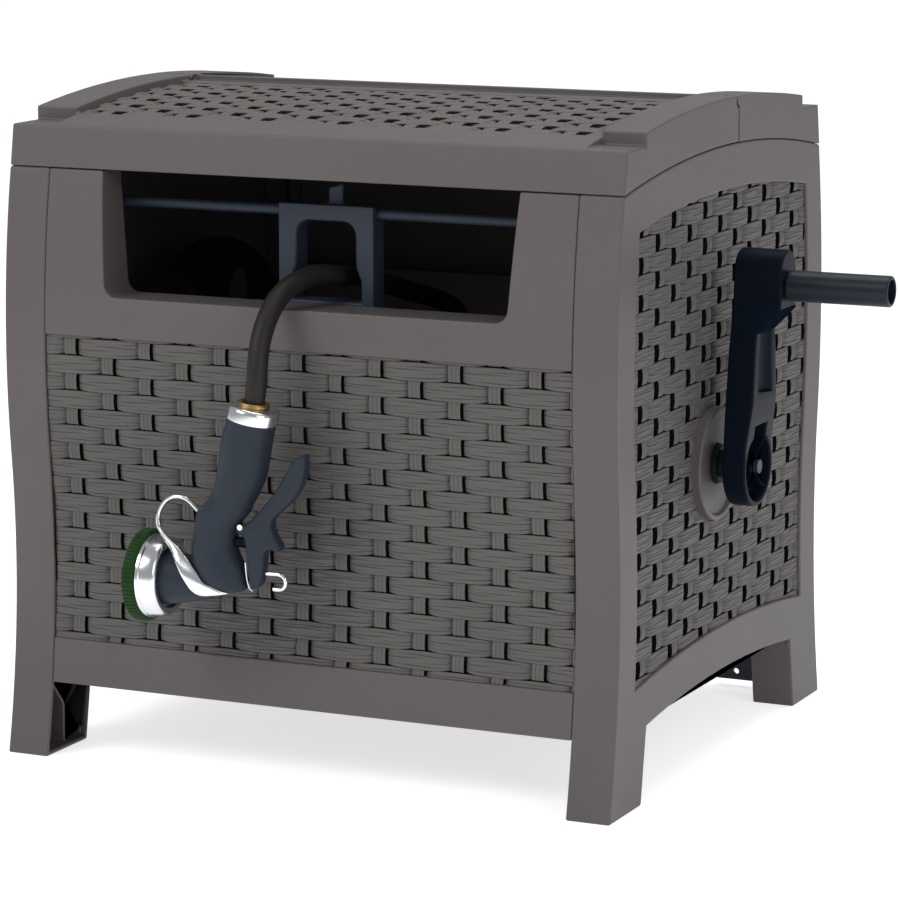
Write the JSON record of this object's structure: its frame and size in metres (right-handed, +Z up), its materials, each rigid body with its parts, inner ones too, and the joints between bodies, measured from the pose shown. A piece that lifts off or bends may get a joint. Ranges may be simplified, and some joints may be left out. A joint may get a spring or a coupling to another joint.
{
  "type": "hose reel box",
  "caption": "Wicker-look cabinet with a crank hose reel inside: hinged curved lid, level-wind guide behind a front window, swivel water inlet, and a hose that ends in a trigger spray nozzle.",
  "frame": {"origin": "on the floor under the middle of the box with its crank and inlet", "axes": "+X along the width towards the crank, +Y towards the back, +Z up"},
  "size_m": [0.791, 0.6003, 0.585],
  "materials": {
    "frame": "satin moulded resin",
    "wicker": "moulded weave, fine strands",
    "reel_plastic": "moulded",
    "dark_plastic": "semi-gloss",
    "guide_plastic": "moulded",
    "gear_plastic": "natural acetal",
    "steel": "drawn",
    "brass": "machined",
    "hose": "matt",
    "seal": "matt",
    "chrome": "polished",
    "nozzle": "soft satin",
    "green": "satin"
  },
  "bodies": {
    "cabinet": {"left_end_panel": "frame", "right_end_panel": "frame", "front_panel": "frame", "back_panel": "frame", "left_weave": "wicker", "right_weave": "wicker", "front_weave": "wicker", "back_weave": "wicker", "rear_top": "frame", "rear_top_weave": "wicker", "hinge_pins": "steel", "anchor_tabs": "guide_plastic", "crank_side_bearing": "reel_plastic", "inlet_side_bearing": "reel_plastic", "guide_rod": "guide_plastic", "idler_stud": "steel"},
    "lid": {"lid": "frame", "lid_weave": "wicker"},
    "reel": {"reel_drum": "reel_plastic", "left_flange": "reel_plastic", "right_flange": "reel_plastic", "reel_gear": "gear_plastic", "hose_core": "hose", "hose_winding": "hose", "drive_shaft": "reel_plastic", "inlet_tube": "brass", "crank_arm": "dark_plastic", "crank_screw": "steel", "grip_spindle": "steel"},
    "grip": {"crank_grip": "dark_plastic"},
    "inlet": {"inlet_elbow": "brass", "inlet_seal": "seal"},
    "idler": {"idler_gear": "gear_plastic"},
    "screw": {"reversing_screw": "reel_plastic", "screw_gear": "gear_plastic"},
    "guide": {"guide_carriage": "guide_plastic", "guide_follower": "brass", "hose_free": "hose", "hose_coupling": "brass", "nozzle_collar": "chrome", "nozzle_body": "nozzle", "nozzle_trim": "chrome", "nozzle_head": "chrome", "nozzle_face": "dark_plastic", "trigger_pin": "chrome"},
    "trigger": {"nozzle_trigger": "nozzle", "trigger_clip": "chrome"},
    "pattern_dial": {"pattern_ring": "green"}
  },
  "joints": [
    {"name": "lid_hinge", "type": "hinge", "parent": "cabinet", "child": "lid", "pos_m": [-0.0535, 0.026, 0.58076], "axis": [-1, 0, 0], "range_deg": [0, 95]},
    {"name": "reel_turn", "type": "hinge", "parent": "cabinet", "child": "reel", "pos_m": [-0.0535, -0.025, 0.268], "axis": [1, 0, 0], "range_deg": [-2520, 2520]},
    {"name": "grip_spin", "type": "hinge", "parent": "reel", "child": "grip", "pos_m": [0.3465, -0.025, 0.428], "axis": [1, 0, 0], "continuous": true},
    {"name": "inlet_swivel", "type": "hinge", "parent": "cabinet", "child": "inlet", "pos_m": [-0.3735, -0.025, 0.268], "axis": [1, 0, 0], "continuous": true},
    {"name": "idler_turn", "type": "hinge", "parent": "cabinet", "child": "idler", "pos_m": [0.1665, -0.10999, 0.31578], "axis": [1, 0, 0], "range_deg": [-1121, 1121]},
    {"name": "screw_turn", "type": "hinge", "parent": "cabinet", "child": "screw", "pos_m": [-0.0535, -0.19, 0.39487], "axis": [1, 0, 0], "range_deg": [-1681, 1681]},
    {"name": "guide_slide", "type": "slide", "parent": "cabinet", "child": "guide", "axis": [1, 0, 0], "range_m": [-0.1331, 0.1331]},
    {"name": "trigger_pull", "type": "hinge", "parent": "guide", "child": "trigger", "pos_m": [-0.0847, -0.3, 0.233], "axis": [0, -1, 0], "range_deg": [0, 12], "stiffness_Nm_per_rad": 1.5, "springref_deg": -5.73},
    {"name": "pattern_turn", "type": "hinge", "parent": "guide", "child": "pattern_dial", "pos_m": [-0.1985, -0.3, 0.185], "axis": [1, 0, 0], "continuous": true}
  ],
  "couplings": [
    {"joint": "idler_turn", "follows": "reel_turn", "ratio": -0.44444},
    {"joint": "screw_turn", "follows": "reel_turn", "ratio": 0.66667},
    {"joint": "guide_slide", "follows": "reel_turn", "m_per_rad": 0.0030239}
  ]
}
